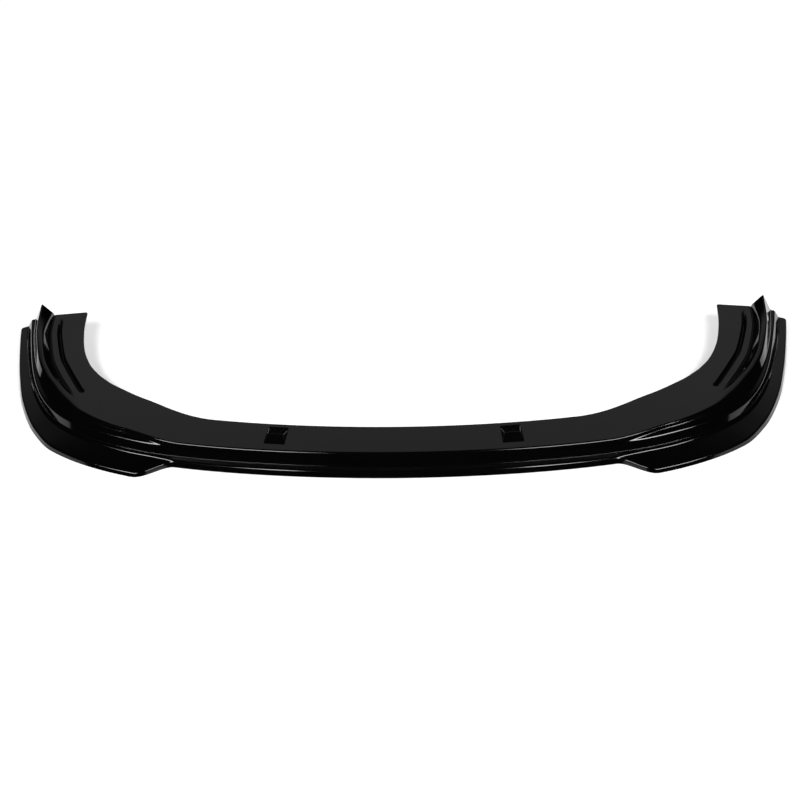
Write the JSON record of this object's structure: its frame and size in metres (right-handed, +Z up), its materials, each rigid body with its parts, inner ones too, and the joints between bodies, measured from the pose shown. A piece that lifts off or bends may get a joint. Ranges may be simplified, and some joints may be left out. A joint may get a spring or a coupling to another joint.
{
  "type": "bumper spoiler",
  "caption": "Moulded lip spoiler for the underside of a car's front bumper, with a flat fixing flange, a bowed front lip, shoulder lobes and winged ends with raised fins.",
  "frame": {"origin": "middle of the spoiler's bounding box, on the surface that its lower edge stands on", "axes": "+X across the car, +Y to the rear, +Z up"},
  "size_m": [1.7528, 0.5312, 0.0773],
  "materials": {
    "gloss_black": "gloss black moulded plastic"
  },
  "bodies": {
    "root": {"bumper_spoiler": "gloss_black"}
  },
  "joints": []
}
